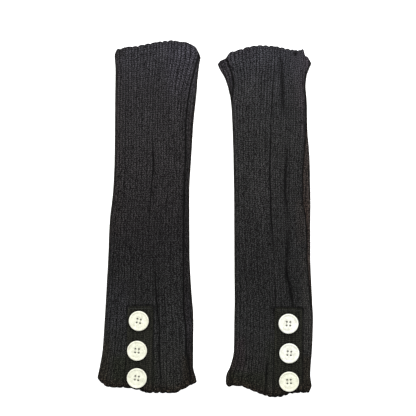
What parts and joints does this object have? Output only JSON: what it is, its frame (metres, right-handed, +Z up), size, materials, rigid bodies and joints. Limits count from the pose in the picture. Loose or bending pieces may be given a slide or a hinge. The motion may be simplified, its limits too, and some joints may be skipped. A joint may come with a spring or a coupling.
{
  "type": "pair of leg warmers",
  "caption": "Pair of ribbed-knit leg warmers laid flat side by side, each with a buttoned tab on the front at its hem.",
  "frame": {"origin": "bottom centre of the pair's box, on the surface that it lies on", "axes": "+Y along the legs from the hems to the top rims, +Z up off the surface, +X across the pair to the right leg warmer"},
  "size_m": [0.2619, 0.4346, 0.0123],
  "materials": {
    "knit": "matte rib knit",
    "tab": "matte fine knit",
    "button": "satin"
  },
  "bodies": {
    "root": {"left_leg": "knit", "right_leg": "knit", "left_tab": "tab", "right_tab": "tab", "left_button_top": "button", "left_button_middle": "button", "left_button_bottom": "button", "right_button_top": "button", "right_button_middle": "button", "right_button_bottom": "button"}
  },
  "joints": []
}
